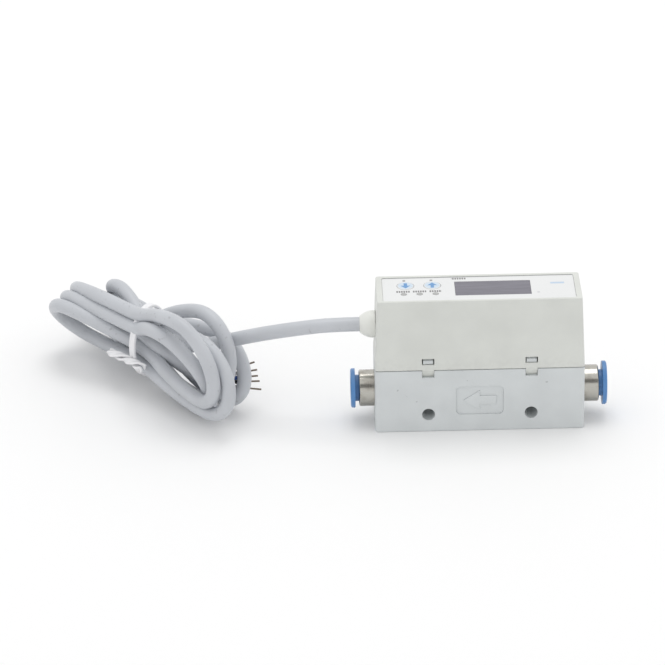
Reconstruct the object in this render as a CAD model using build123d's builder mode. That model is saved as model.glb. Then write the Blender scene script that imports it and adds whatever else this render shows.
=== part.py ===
from build123d import *
import os
from math import cos, radians, sin, tan

# Flow sensor for air. The origin is at the bottom centre of the housing, +X runs along the flow
# axis to the right-hand port, +Y to the back and +Z up. All sizes are in millimetres.

# Housing: a moulded base that carries the flow path, and a snap-on cover
housing_length = 55.0
housing_width = 16.0
base_height = 17.8
cover_height = 20.2
corner_radius = 0.7
base_edge_radius = 0.3
cover_edge_radius = 0.3
cover_lean = 0.8
cover_wall = 1.5
cover_top = 1.6
cavity_corner = 0.5
seam_height = 0.25
seam_depth = 0.35
spigot_height = 1.6
spigot_wall = 1.0
spigot_clearance = 0.15

# Catches: a post of the base reaches up inside the cover and its lug sits in a window
catch_spacing = 27.1
catch_window_width = 3.25
catch_window_height = 1.75
catch_window_rise = 1.75
lug_side_gap = 0.28
lug_end_gap = 0.12
lug_setback = 0.3
lug_lip = 0.9
post_thickness = 1.2
post_rise = 0.8
notch_width = 3.2
notch_height = 2.0
notch_depth = 1.5
tongue_gap = 0.05
tongue_slope = 0.9

# Mounting holes for M3 screws, through the base from front to back
mount_spacing = 27.0
mount_height = 5.0
mount_hole_radius = 1.7

# Flow direction arrow, moulded in a shallow recess on the front
arrow_recess_length = 12.5
arrow_recess_height = 8.2
arrow_recess_corner = 1.3
arrow_recess_depth = 0.35
arrow_recess_rise = 4.8
arrow_relief = 0.25
arrow_head_length = 4.3
arrow_head_height = 5.6
arrow_shaft_length = 4.3
arrow_shaft_height = 2.5

# Flow path and sensor pocket
port_axis_height = 9.3
port_bore_radius = 4.9
port_depth = 10.0
channel_radius = 1.7
screen_radius = 2.6
screen_thickness = 1.0
screen_fit = 0.05
screen_hole_radius = 0.5
screen_hole_circle = 1.45
insert_length = 18.0
insert_fit = 0.05
throat_radius = 1.05
throat_length = 6.0
pocket_length = 20.0
pocket_width = 9.6
channel_roof = 1.4
gasket_length = 8.0
gasket_width = 5.6
gasket_wall = 1.6
gasket_thickness = 0.8
gasket_fit = 0.1
sensor_slot_length = 4.0
sensor_slot_width = 1.8

# Circuit boards and what they carry
board_thickness = 1.0
board_fit = 0.2
flow_chip_length = 2.6
flow_chip_width = 1.6
flow_chip_thickness = 0.7
peg_radius = 0.6
peg_fit = 0.05
peg_rise = 0.5
sensor_peg_spacing = 17.0
pin_radius = 0.3
pin_fit = 0.05
pin_pitch = 2.0
pin_count = 4
pin_row_y = -2.6
main_board_rise = 5.6
main_board_width = 9.6
board_end_gap = 2.6
rib_spacing = 40.0
rib_thickness = 1.4
rib_width = 8.0
controller_size = 6.6
controller_thickness = 1.0
controller_x = -9.0
regulator_length = 5.0
regulator_width = 4.0
regulator_thickness = 1.5
regulator_x = 9.5
capacitor_radius = 2.0
capacitor_clearance = 3.0
capacitor_x = 15.5
part_row_y = -1.3
display_board_drop = 5.0
display_board_width = 12.2
header_length = 12.0
header_width = 2.2
header_y = 3.5

# Front film, display window, keys and status lights, all under the top of the cover. Their places
# along it are measured from its left end.
label_side_rim = 1.6
label_back_rim = 1.3
label_front_rim = 0.75
label_recess_depth = 0.5
label_thickness = 0.35
label_corner = 0.6
label_gap = 0.05
window_length = 19.75
window_width = 8.3
window_from_end = 31.25
window_y = -0.25
window_lip = 0.5
window_ledge = 0.45
window_gap = 0.05
window_sink = 0.05
module_length = 18.6
module_width = 7.2
module_gap = 0.1
key_spacing = 7.0
keys_from_end = 12.0
key_y = 1.9
key_radius = 2.2
key_gap = 0.1
key_proud = 0.1
key_thickness = 0.65
key_travel = 0.3
key_floor_gap = 0.1
key_stem_radius = 1.3
key_dome = 0.15
switch_size = 4.5
switch_height = 2.0
plunger_radius = 0.9
plunger_fit = 0.05
light_spacing = 4.15
lights_from_end = 12.05
light_y = -3.1
light_radius = 0.8
light_gap = 0.05
led_length = 1.6
led_width = 0.8
led_height = 0.6

# Push-in port for a tube of 6 mm, measured outward from the end face of the housing
sleeve_radius = 4.85
sleeve_reach = 4.1
sleeve_end_gap = 0.1
sleeve_edge_radius = 0.45
sleeve_stop_radius = 2.2
sleeve_stop_length = 1.0
tube_seat_radius = 3.05
chamber_radius = 4.0
chamber_depth = 5.6
mouth_lip = 1.2
groove_inset = 1.3
groove_width = 1.3
groove_radius = 4.0
stack_fit = 0.05
tube_seal_length = 1.8
tube_seal_lip_radius = 3.02
tube_seal_lip_length = 0.6
tube_seal_inner_radius = 3.4
backing_ring_length = 1.2
backing_ring_inner_radius = 3.2
backing_ring_mouth_radius = 3.75
grip_thickness = 0.25
grip_rim = 0.4
tooth_count = 8
tooth_tip_radius = 3.02
tooth_drop = 0.6
tooth_gap_width = 0.45
collar_length = 0.9
collar_inner_radius = 3.62
tube_bore_radius = 3.1
neck_radius = 3.5
neck_clearance = 0.05
ring_travel = 0.8
ring_end_gap = 0.2
nose_gap = 0.12
nose_taper = 0.2
barb_radius = 3.85
barb_length = 0.9
slot_count = 4
slot_width = 0.8
flange_long = 11.9
flange_short = 10.0
flange_thickness = 1.15
flange_chamfer = 0.3

# Cable, strain relief and the hank it is rolled into
cable_radius = 1.9
cable_drop = 10.0
gland_length = 4.1
gland_base_radius = 3.6
gland_tip_radius = 2.1
gland_collar = 0.5
gland_neck_radius = 2.7
gland_hole_gap = 0.05
gland_flange_radius = 3.7
gland_flange_thickness = 1.2
gland_bore_gap = 0.03
jacket_inside = 1.0
core_radius = 0.5
core_spacing = 0.62
core_pad_spacing = 1.5
core_landing = 4.6
core_count = 5
hank_distance = 36.8
hank_aside = 2.3
hank_heading = 135.0
tie_width = 2.2
tie_thickness = 0.7
tie_gap = 0.2
tie_tail_radius = 0.9
tie_tail_rise = 6.2
tie_tail_start = -5.0
tie_tail_length = 14.0
wire_radius = 0.55
strand_radius = 0.3
wire_insulated_share = 0.5

os.makedirs("parts", exist_ok=True)


def save(piece, name):
    """Label a finished piece and write its file."""
    piece.part.label = name
    export_step(piece.part, "parts/" + name + ".step")


# Heights and places that follow from the driving sizes
housing_height = base_height + cover_height
end_face = housing_length / 2
front_face = housing_width / 2
lean_rate = cover_lean / cover_height
ceiling = housing_height - cover_top
cavity_half_width = front_face - cover_wall
spigot_half_width = cavity_half_width - spigot_clearance
catch_x = (-catch_spacing / 2, catch_spacing / 2)
window_bottom = base_height + catch_window_rise
window_top = window_bottom + catch_window_height
channel_top = port_axis_height + channel_radius
pocket_floor = channel_top + channel_roof
sensor_board_bottom = pocket_floor + gasket_thickness
main_board_bottom = base_height + main_board_rise
main_board_top = main_board_bottom + board_thickness
display_board_bottom = housing_height - display_board_drop - board_thickness
display_board_top = display_board_bottom + board_thickness
board_length = housing_length - 2 * cover_wall - 2 * cover_lean - 2 * board_end_gap
label_floor = housing_height - label_recess_depth
label_top = label_floor + label_thickness
label_length = housing_length - 2 * cover_lean - 2 * label_side_rim
label_width = housing_width - label_front_rim - label_back_rim
label_y = (label_front_rim - label_back_rim) / 2
window_x = window_from_end - end_face
window_seat = ceiling + window_lip
key_centre_x = keys_from_end - end_face
light_x = lights_from_end - end_face
key_floor = label_top + key_proud - key_thickness - key_travel - key_floor_gap
key_places = (
    ("up", key_centre_x - key_spacing / 2),
    ("down", key_centre_x + key_spacing / 2),
)
light_places = [light_x + (n - 1) * light_spacing for n in range(3)]
cable_height = housing_height - cable_drop
gland_face = end_face - lean_rate * (cable_height - base_height)
gland_tip = gland_face + gland_length
ports = (("left", -1, 0), ("right", 1, 90))
port_axis = Axis((0, 0, port_axis_height), (1, 0, 0))
cable_axis = Axis((0, 0, cable_height), (1, 0, 0))

# Base: a solid moulding round the flow path, with a spigot that centres the cover
with BuildPart() as base_body:
    with BuildSketch():
        RectangleRounded(housing_length, housing_width, corner_radius)
    extrude(amount=base_height)
    fillet(base_body.edges().group_by(Axis.Z)[0], base_edge_radius)
    spigot_length = housing_length - 2 * cover_wall - 2 * spigot_clearance
    with BuildSketch(Plane.XY.offset(base_height)):
        RectangleRounded(spigot_length, 2 * spigot_half_width, cavity_corner)
        Rectangle(spigot_length - 2 * spigot_wall, 2 * (spigot_half_width - spigot_wall), mode=Mode.SUBTRACT)
    extrude(amount=spigot_height)
    # Catch posts with their lugs, and the notches below them that free a screwdriver's tip
    for x in catch_x:
        lug_width = catch_window_width - 2 * lug_side_gap
        post_top = window_top + post_rise
        lug_low = window_bottom + lug_end_gap
        lug_high = window_top - lug_end_gap
        for side in (-1, 1):
            with BuildSketch(Plane.YZ.offset(x - lug_width / 2)):
                with BuildLine():
                    Polyline(
                        (side * (spigot_half_width - post_thickness), base_height),
                        (side * spigot_half_width, base_height),
                        (side * spigot_half_width, lug_low),
                        (side * (front_face - lug_setback), lug_low),
                        (side * (front_face - lug_setback), lug_low + lug_lip),
                        (side * spigot_half_width, lug_high),
                        (side * spigot_half_width, post_top),
                        (side * (spigot_half_width - post_thickness), post_top),
                        close=True,
                    )
                make_face()
            extrude(amount=lug_width)
            with BuildSketch(Plane.YZ.offset(x - notch_width / 2)):
                with Locations((side * (front_face - notch_depth / 2), base_height - notch_height / 2)):
                    Rectangle(notch_depth, notch_height)
            extrude(amount=notch_width, mode=Mode.SUBTRACT)
    # Ribs that carry the main board, each with a peg
    for x in (-rib_spacing / 2, rib_spacing / 2):
        with BuildSketch(Plane.XY.offset(base_height)):
            with Locations((x, 0)):
                Rectangle(rib_thickness, rib_width)
        extrude(amount=main_board_rise)
        with BuildSketch(Plane.XY.offset(main_board_bottom)):
            with Locations((x, 0)):
                Circle(peg_radius)
        extrude(amount=board_thickness + peg_rise)
    # Mounting holes
    with BuildSketch(Plane.XZ):
        with Locations((-mount_spacing / 2, mount_height), (mount_spacing / 2, mount_height)):
            Circle(mount_hole_radius)
    extrude(amount=housing_width, both=True, mode=Mode.SUBTRACT)
    # Bores of the ports, seats of the screens and the channel between them
    for side in (-1, 1):
        with BuildSketch(Plane.YZ.offset(side * end_face)):
            with Locations((0, port_axis_height)):
                Circle(port_bore_radius)
        extrude(amount=-side * port_depth, mode=Mode.SUBTRACT)
        with BuildSketch(Plane.YZ.offset(side * (end_face - port_depth))):
            with Locations((0, port_axis_height)):
                Circle(screen_radius)
        extrude(amount=-side * screen_thickness, mode=Mode.SUBTRACT)
    with BuildSketch(Plane.YZ):
        with Locations((0, port_axis_height)):
            Circle(channel_radius)
    extrude(amount=end_face - port_depth, both=True, mode=Mode.SUBTRACT)
    # Pocket of the flow sensor, with the deeper seat of its gasket and the slot to the channel
    with BuildSketch(Plane.XY.offset(base_height)):
        Rectangle(pocket_length, pocket_width)
    extrude(amount=sensor_board_bottom - base_height, mode=Mode.SUBTRACT)
    with BuildSketch(Plane.XY.offset(sensor_board_bottom)):
        Rectangle(gasket_length + 2 * gasket_fit, gasket_width + 2 * gasket_fit)
    extrude(amount=-gasket_thickness, mode=Mode.SUBTRACT)
    with BuildSketch(Plane.XY.offset(pocket_floor)):
        Rectangle(sensor_slot_length, sensor_slot_width)
    extrude(amount=port_axis_height - pocket_floor, mode=Mode.SUBTRACT)
    with BuildSketch(Plane.XY.offset(sensor_board_bottom)):
        with Locations((-sensor_peg_spacing / 2, 0), (sensor_peg_spacing / 2, 0)):
            Circle(peg_radius)
    extrude(amount=board_thickness + peg_rise)
    # Arrow in its recess
    recess_middle = arrow_recess_rise + arrow_recess_height / 2
    with BuildSketch(Plane.XZ.offset(front_face)):
        with Locations((0, recess_middle)):
            RectangleRounded(arrow_recess_length, arrow_recess_height, arrow_recess_corner)
    extrude(amount=-arrow_recess_depth, mode=Mode.SUBTRACT)
    with BuildSketch(Plane.XZ.offset(front_face - arrow_recess_depth)):
        with BuildLine():
            Polyline(
                (-arrow_head_length, recess_middle),
                (0, recess_middle + arrow_head_height / 2),
                (0, recess_middle + arrow_shaft_height / 2),
                (arrow_shaft_length, recess_middle + arrow_shaft_height / 2),
                (arrow_shaft_length, recess_middle - arrow_shaft_height / 2),
                (0, recess_middle - arrow_shaft_height / 2),
                (0, recess_middle - arrow_head_height / 2),
                close=True,
            )
        make_face()
    extrude(amount=arrow_relief)
save(base_body, "base_body")

# Cover: a shell whose ends lean in towards the top, with a shadow groove along its lower edge
with BuildPart() as cover:
    with BuildSketch(Plane.XY.offset(base_height)):
        RectangleRounded(housing_length, housing_width, corner_radius)
    with BuildSketch(Plane.XY.offset(housing_height)):
        RectangleRounded(housing_length - 2 * cover_lean, housing_width, corner_radius)
    loft()
    fillet(cover.edges().group_by(Axis.Z)[-1], cover_edge_radius)
    cavity_length = housing_length - 2 * cover_wall
    cavity_lean = lean_rate * (ceiling - base_height)
    with BuildSketch(Plane.XY.offset(base_height)):
        RectangleRounded(cavity_length, 2 * cavity_half_width, cavity_corner)
    with BuildSketch(Plane.XY.offset(ceiling)):
        RectangleRounded(cavity_length - 2 * cavity_lean, 2 * cavity_half_width, cavity_corner)
    loft(mode=Mode.SUBTRACT)
    with BuildSketch(Plane.XY.offset(base_height)):
        Rectangle(2 * housing_length, 2 * housing_width)
        RectangleRounded(
            housing_length - 2 * seam_depth, housing_width - 2 * seam_depth, corner_radius, mode=Mode.SUBTRACT
        )
    extrude(amount=seam_height, mode=Mode.SUBTRACT)
    # Windows for the lugs, and tongues that reach down into the notches of the base
    for x in catch_x:
        with BuildSketch(Plane.XZ):
            with Locations((x, (window_bottom + window_top) / 2)):
                Rectangle(catch_window_width, catch_window_height)
        extrude(amount=housing_width, both=True, mode=Mode.SUBTRACT)
        tongue_width = notch_width - 2 * tongue_gap
        tongue_back = front_face - notch_depth + tongue_gap
        tongue_low = base_height - notch_height + tongue_gap
        for side in (-1, 1):
            with BuildSketch(Plane.YZ.offset(x - tongue_width / 2)):
                with BuildLine():
                    Polyline(
                        (side * front_face, base_height + seam_height),
                        (side * front_face, base_height),
                        (side * (front_face - tongue_slope), tongue_low),
                        (side * tongue_back, tongue_low),
                        (side * tongue_back, base_height + seam_height),
                        close=True,
                    )
                make_face()
            extrude(amount=tongue_width)
    # Recess of the front film, seat of the display window, pockets of the keys, holes of the lights
    with BuildSketch(Plane.XY.offset(housing_height)):
        with Locations((0, label_y)):
            RectangleRounded(label_length + 2 * label_gap, label_width + 2 * label_gap, label_corner)
    extrude(amount=-label_recess_depth, mode=Mode.SUBTRACT)
    with BuildSketch(Plane.XY.offset(housing_height)):
        with Locations((window_x, window_y)):
            Rectangle(window_length + 2 * window_gap, window_width + 2 * window_gap)
    extrude(amount=window_seat - housing_height, mode=Mode.SUBTRACT)
    with BuildSketch(Plane.XY.offset(window_seat)):
        with Locations((window_x, window_y)):
            Rectangle(window_length - 2 * window_ledge, window_width - 2 * window_ledge)
    extrude(amount=ceiling - window_seat, mode=Mode.SUBTRACT)
    for name, x in key_places:
        with BuildSketch(Plane.XY.offset(housing_height)):
            with Locations((x, key_y)):
                Circle(key_radius + key_gap)
        extrude(amount=key_floor - housing_height, mode=Mode.SUBTRACT)
        with BuildSketch(Plane.XY.offset(housing_height)):
            with Locations((x, key_y)):
                Circle(key_stem_radius + key_gap)
        extrude(amount=-cover_top, mode=Mode.SUBTRACT)
    for x in light_places:
        with BuildSketch(Plane.XY.offset(housing_height)):
            with Locations((x, light_y)):
                Circle(light_radius + light_gap)
        extrude(amount=-cover_top, mode=Mode.SUBTRACT)
    # Hole of the strain relief in the left end
    with BuildSketch(Plane.YZ.offset(-end_face)):
        with Locations((0, cable_height)):
            Circle(gland_neck_radius + gland_hole_gap)
    extrude(amount=2 * cover_wall + cover_lean, mode=Mode.SUBTRACT)
save(cover, "cover")

# Front film, with openings for the window, the keys and the lights
with BuildPart() as label_film:
    with BuildSketch(Plane.XY.offset(label_floor)):
        with Locations((0, label_y)):
            RectangleRounded(label_length, label_width, label_corner)
        with Locations((window_x, window_y)):
            Rectangle(window_length + 2 * window_gap, window_width + 2 * window_gap, mode=Mode.SUBTRACT)
        with Locations(*[(x, key_y) for name, x in key_places]):
            Circle(key_radius + key_gap, mode=Mode.SUBTRACT)
        with Locations(*[(x, light_y) for x in light_places]):
            Circle(light_radius + light_gap, mode=Mode.SUBTRACT)
    extrude(amount=label_thickness)
save(label_film, "label_film")

# Tinted display window, in its stepped seat
with BuildPart() as display_window:
    with BuildSketch(Plane.XY.offset(window_seat)):
        with Locations((window_x, window_y)):
            Rectangle(window_length, window_width)
    extrude(amount=label_top - window_sink - window_seat)
save(display_window, "display_window")

# Keys: a crowned pad with a stem that rests on the plunger of its switch
switch_top = display_board_top + switch_height
plunger_top = key_floor - key_travel - key_floor_gap
for name, x in key_places:
    with BuildPart() as key:
        pad_bottom = key_floor + key_travel + key_floor_gap
        with BuildSketch(Plane.XY.offset(pad_bottom)):
            with Locations((x, key_y)):
                Circle(key_radius)
        extrude(amount=key_thickness)
        fillet(key.edges().group_by(Axis.Z)[-1], key_dome)
        with BuildSketch(Plane.XY.offset(plunger_top)):
            with Locations((x, key_y)):
                Circle(key_stem_radius)
        extrude(amount=pad_bottom - plunger_top)
    save(key, "key_" + name)

    # Tact switch on the display board, open at the top for its plunger
    with BuildPart() as tact_switch:
        with BuildSketch(Plane.XY.offset(display_board_top)):
            with Locations((x, key_y)):
                Rectangle(switch_size, switch_size)
        extrude(amount=switch_height)
        with BuildSketch(Plane.XY.offset(switch_top)):
            with Locations((x, key_y)):
                Circle(plunger_radius + plunger_fit)
        extrude(amount=-switch_height / 2, mode=Mode.SUBTRACT)
    save(tact_switch, "tact_switch_" + name)

    with BuildPart() as switch_plunger:
        plunger_bottom = switch_top - switch_height / 2 + key_travel + key_floor_gap
        with BuildSketch(Plane.XY.offset(plunger_bottom)):
            with Locations((x, key_y)):
                Circle(plunger_radius)
        extrude(amount=plunger_top - plunger_bottom)
    save(switch_plunger, "switch_plunger_" + name)

# Light guides, from the lamps on the board up to the film
led_top = display_board_top + led_height
for n, x in enumerate(light_places, start=1):
    with BuildPart() as light_guide:
        with BuildSketch(Plane.XY.offset(led_top)):
            with Locations((x, light_y)):
                Circle(light_radius)
        extrude(amount=label_top - led_top)
    save(light_guide, "light_guide_" + str(n))

with BuildPart() as status_leds:
    with BuildSketch(Plane.XY.offset(display_board_top)):
        with Locations(*[(x, light_y) for x in light_places]):
            Rectangle(led_length, led_width)
    extrude(amount=led_height)
save(status_leds, "status_leds")

# Display board, hung between the header and the window's frame
with BuildPart() as display_board:
    with BuildSketch(Plane.XY.offset(display_board_bottom)):
        Rectangle(board_length, display_board_width)
    extrude(amount=board_thickness)
save(display_board, "display_board")

with BuildPart() as display_module:
    with BuildSketch(Plane.XY.offset(display_board_top)):
        with Locations((window_x, window_y)):
            Rectangle(module_length, module_width)
    extrude(amount=window_seat - module_gap - display_board_top)
save(display_module, "display_module")

# Header between the two boards
with BuildPart() as board_header:
    with BuildSketch(Plane.XY.offset(main_board_top)):
        with Locations((0, header_y)):
            Rectangle(header_length, header_width)
    extrude(amount=display_board_bottom - main_board_top)
save(board_header, "board_header")

# Main board on its ribs, with the holes of the pegs and of the sensor's pins
pin_places = [((n - (pin_count - 1) / 2) * pin_pitch, pin_row_y) for n in range(pin_count)]
with BuildPart() as main_board:
    with BuildSketch(Plane.XY.offset(main_board_bottom)):
        Rectangle(board_length, main_board_width)
        with Locations((-rib_spacing / 2, 0), (rib_spacing / 2, 0)):
            Circle(peg_radius + peg_fit, mode=Mode.SUBTRACT)
        with Locations(*pin_places):
            Circle(pin_radius + pin_fit, mode=Mode.SUBTRACT)
    extrude(amount=board_thickness)
save(main_board, "main_board")

with BuildPart() as controller_chip:
    with BuildSketch(Plane.XY.offset(main_board_top)):
        with Locations((controller_x, part_row_y)):
            Rectangle(controller_size, controller_size)
    extrude(amount=controller_thickness)
save(controller_chip, "controller_chip")

with BuildPart() as regulator_chip:
    with BuildSketch(Plane.XY.offset(main_board_top)):
        with Locations((regulator_x, part_row_y)):
            Rectangle(regulator_length, regulator_width)
    extrude(amount=regulator_thickness)
save(regulator_chip, "regulator_chip")

with BuildPart() as supply_capacitor:
    with BuildSketch(Plane.XY.offset(main_board_top)):
        with Locations((capacitor_x, part_row_y)):
            Circle(capacitor_radius)
    extrude(amount=display_board_bottom - capacitor_clearance - main_board_top)
save(supply_capacitor, "supply_capacitor")

# Flow sensor: gasket, board, chip and the pins up to the main board
with BuildPart() as sensor_gasket:
    with BuildSketch(Plane.XY.offset(pocket_floor)):
        Rectangle(gasket_length, gasket_width)
        Rectangle(gasket_length - 2 * gasket_wall, gasket_width - 2 * gasket_wall, mode=Mode.SUBTRACT)
    extrude(amount=gasket_thickness)
save(sensor_gasket, "sensor_gasket")

with BuildPart() as sensor_board:
    with BuildSketch(Plane.XY.offset(sensor_board_bottom)):
        Rectangle(pocket_length - 2 * board_fit, pocket_width - 2 * board_fit)
        with Locations((-sensor_peg_spacing / 2, 0), (sensor_peg_spacing / 2, 0)):
            Circle(peg_radius + peg_fit, mode=Mode.SUBTRACT)
        with Locations(*pin_places):
            Circle(pin_radius + pin_fit, mode=Mode.SUBTRACT)
    extrude(amount=board_thickness)
save(sensor_board, "sensor_board")

with BuildPart() as flow_chip:
    with BuildSketch(Plane.XY.offset(sensor_board_bottom)):
        Rectangle(flow_chip_length, flow_chip_width)
    extrude(amount=-flow_chip_thickness)
save(flow_chip, "flow_chip")

with BuildPart() as sensor_pins:
    with BuildSketch(Plane.XY.offset(sensor_board_bottom)):
        with Locations(*pin_places):
            Circle(pin_radius)
    extrude(amount=main_board_top + peg_rise - sensor_board_bottom)
save(sensor_pins, "sensor_pins")

# Flow insert: a tube with a narrow throat, slotted on top below the chip
with BuildPart() as flow_insert:
    insert_radius = channel_radius - insert_fit
    insert_half = insert_length / 2
    throat_half = throat_length / 2
    mouth_radius = insert_radius - 2 * insert_fit
    with BuildSketch(Plane.XZ):
        with BuildLine():
            Polyline(
                (-insert_half, port_axis_height + insert_radius),
                (insert_half, port_axis_height + insert_radius),
                (insert_half, port_axis_height + mouth_radius),
                (throat_half, port_axis_height + throat_radius),
                (-throat_half, port_axis_height + throat_radius),
                (-insert_half, port_axis_height + mouth_radius),
                close=True,
            )
        make_face()
    revolve(axis=port_axis)
    with BuildSketch(Plane.XY.offset(port_axis_height + channel_radius)):
        Rectangle(sensor_slot_length, sensor_slot_width)
    extrude(amount=-channel_radius, mode=Mode.SUBTRACT)
save(flow_insert, "flow_insert")

for name, side, flange_turn in ports:
    # Screen in its seat at the bottom of the port's bore
    with BuildPart() as flow_screen:
        with BuildSketch(Plane.YZ.offset(side * (end_face - port_depth))):
            with Locations((0, port_axis_height)):
                Circle(screen_radius - screen_fit)
            with Locations((0, port_axis_height)):
                Circle(screen_hole_radius, mode=Mode.SUBTRACT)
                with PolarLocations(screen_hole_circle, 6):
                    Circle(screen_hole_radius, mode=Mode.SUBTRACT)
        extrude(amount=-side * (screen_thickness - screen_fit))
    save(flow_screen, "flow_screen_" + name)

    def port_point(out, radius):
        """A point of a turned profile: distance out from the housing's end, and radius."""
        return (side * (end_face + out), port_axis_height + radius)

    # Sleeve: turned brass, nickel plated, with a groove for its O-ring and a lip at the mouth
    sleeve_end = sleeve_end_gap - port_depth
    stop_end = sleeve_end + sleeve_stop_length
    groove_start = sleeve_end + groove_inset
    groove_end = groove_start + groove_width
    lip_inner = sleeve_reach - mouth_lip
    mouth_radius = neck_radius + neck_clearance
    with BuildPart() as port_sleeve:
        with BuildSketch(Plane.XZ):
            with BuildLine():
                Polyline(
                    port_point(sleeve_end, sleeve_stop_radius),
                    port_point(sleeve_end, sleeve_radius),
                    port_point(groove_start, sleeve_radius),
                    port_point(groove_start, groove_radius),
                    port_point(groove_end, groove_radius),
                    port_point(groove_end, sleeve_radius),
                    port_point(sleeve_reach, sleeve_radius),
                    port_point(sleeve_reach, mouth_radius),
                    port_point(lip_inner, mouth_radius),
                    port_point(lip_inner, chamber_radius),
                    port_point(-chamber_depth, chamber_radius),
                    port_point(-chamber_depth, tube_seat_radius),
                    port_point(stop_end, tube_seat_radius),
                    port_point(stop_end, sleeve_stop_radius),
                    close=True,
                )
            rim = make_face().vertices().sort_by(Axis.X)
            rim_corners = [v for v in rim if abs(v.X - side * (end_face + sleeve_reach)) < 0.01]
            fillet(max(rim_corners, key=lambda v: v.Z), sleeve_edge_radius)
        revolve(axis=port_axis)
    save(port_sleeve, "port_sleeve_" + name)

    # O-ring in the sleeve's groove
    with BuildPart() as sleeve_o_ring:
        cord_radius = (port_bore_radius - groove_radius) / 2
        with BuildSketch(Plane.XZ):
            with Locations(port_point((groove_start + groove_end) / 2, groove_radius + cord_radius)):
                Circle(cord_radius)
        revolve(axis=port_axis)
    save(sleeve_o_ring, "sleeve_o_ring_" + name)

    # Lip seal round the tube
    ring_outer = chamber_radius - stack_fit
    seal_start = -chamber_depth + stack_fit
    seal_end = seal_start + tube_seal_length
    with BuildPart() as tube_seal:
        with BuildSketch(Plane.XZ):
            with BuildLine():
                Polyline(
                    port_point(seal_start, tube_seal_lip_radius),
                    port_point(seal_start, ring_outer),
                    port_point(seal_end, ring_outer),
                    port_point(seal_end, tube_seal_inner_radius),
                    port_point(seal_start + tube_seal_lip_length, tube_seal_lip_radius),
                    close=True,
                )
            make_face()
        revolve(axis=port_axis)
    save(tube_seal, "tube_seal_" + name)

    # Backing ring, coned so that the teeth have room
    backing_start = seal_end + stack_fit
    backing_end = backing_start + backing_ring_length
    with BuildPart() as backing_ring:
        with BuildSketch(Plane.XZ):
            with BuildLine():
                Polyline(
                    port_point(backing_start, backing_ring_inner_radius),
                    port_point(backing_start, ring_outer),
                    port_point(backing_end, ring_outer),
                    port_point(backing_end, backing_ring_mouth_radius),
                    close=True,
                )
            make_face()
        revolve(axis=port_axis)
    save(backing_ring, "backing_ring_" + name)

    # Grip ring: a thin steel rim with teeth bent inward, slit between the teeth
    grip_start = backing_end + stack_fit
    grip_end = grip_start + grip_thickness
    tooth_root = ring_outer - grip_rim
    with BuildPart() as grip_ring:
        with BuildSketch(Plane.XZ):
            with BuildLine():
                Polyline(
                    port_point(grip_start, ring_outer),
                    port_point(grip_end, ring_outer),
                    port_point(grip_end, tooth_root),
                    port_point(grip_end - tooth_drop, tooth_tip_radius),
                    port_point(grip_start - tooth_drop, tooth_tip_radius),
                    port_point(grip_start, tooth_root),
                    close=True,
                )
            make_face()
        revolve(axis=port_axis)
        with BuildSketch(Plane.YZ.offset(side * (end_face + grip_end))):
            with Locations((0, port_axis_height)):
                with PolarLocations(tooth_root / 2, tooth_count):
                    Rectangle(tooth_root, tooth_gap_width)
        extrude(amount=-side * (grip_thickness + tooth_drop), mode=Mode.SUBTRACT)
    save(grip_ring, "grip_ring_" + name)

    # Collar that holds the grip ring down
    collar_start = grip_end + stack_fit
    with BuildPart() as grip_collar:
        with BuildSketch(Plane.YZ.offset(side * (end_face + collar_start))):
            with Locations((0, port_axis_height)):
                Circle(ring_outer)
                Circle(collar_inner_radius, mode=Mode.SUBTRACT)
        extrude(amount=side * collar_length)
    save(grip_collar, "grip_collar_" + name)

    # Release ring: oval flange, neck through the mouth, barbs behind the lip and a tapered nose
    flange_inner = sleeve_reach + ring_travel + ring_end_gap
    flange_outer = flange_inner + flange_thickness
    nose_end = grip_end + nose_gap + ring_travel
    barb_outer = lip_inner - stack_fit
    barb_inner = barb_outer - barb_length
    with BuildPart() as release_ring:
        with BuildSketch(Plane.YZ.offset(side * (end_face + flange_inner))):
            with Locations((0, port_axis_height)):
                Ellipse(flange_long / 2, flange_short / 2, rotation=flange_turn)
        extrude(amount=side * flange_thickness)
        flange_edges = release_ring.edges().filter_by(GeomType.ELLIPSE).sort_by(Axis.X)
        chamfer(flange_edges[0 if side < 0 else -1], flange_chamfer)
        with BuildSketch(Plane.XZ):
            with BuildLine():
                Polyline(
                    port_point(nose_end, 0),
                    port_point(nose_end, neck_radius - nose_taper),
                    port_point(barb_inner, neck_radius),
                    port_point(barb_outer, barb_radius),
                    port_point(barb_outer, neck_radius),
                    port_point(flange_outer - flange_chamfer, neck_radius),
                    port_point(flange_outer - flange_chamfer, 0),
                    close=True,
                )
            make_face()
        revolve(axis=port_axis)
        with BuildSketch(Plane.YZ.offset(side * (end_face + flange_outer))):
            with Locations((0, port_axis_height)):
                Circle(tube_bore_radius)
        extrude(amount=-side * (flange_outer - nose_end), mode=Mode.SUBTRACT)
        with BuildSketch(Plane.YZ.offset(side * (end_face + nose_end))):
            with Locations((0, port_axis_height)):
                with PolarLocations(chamber_radius / 2, slot_count, start_angle=45):
                    Rectangle(chamber_radius, slot_width)
        extrude(amount=side * (barb_outer - nose_end), mode=Mode.SUBTRACT)
    save(release_ring, "release_ring_" + name)

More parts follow.
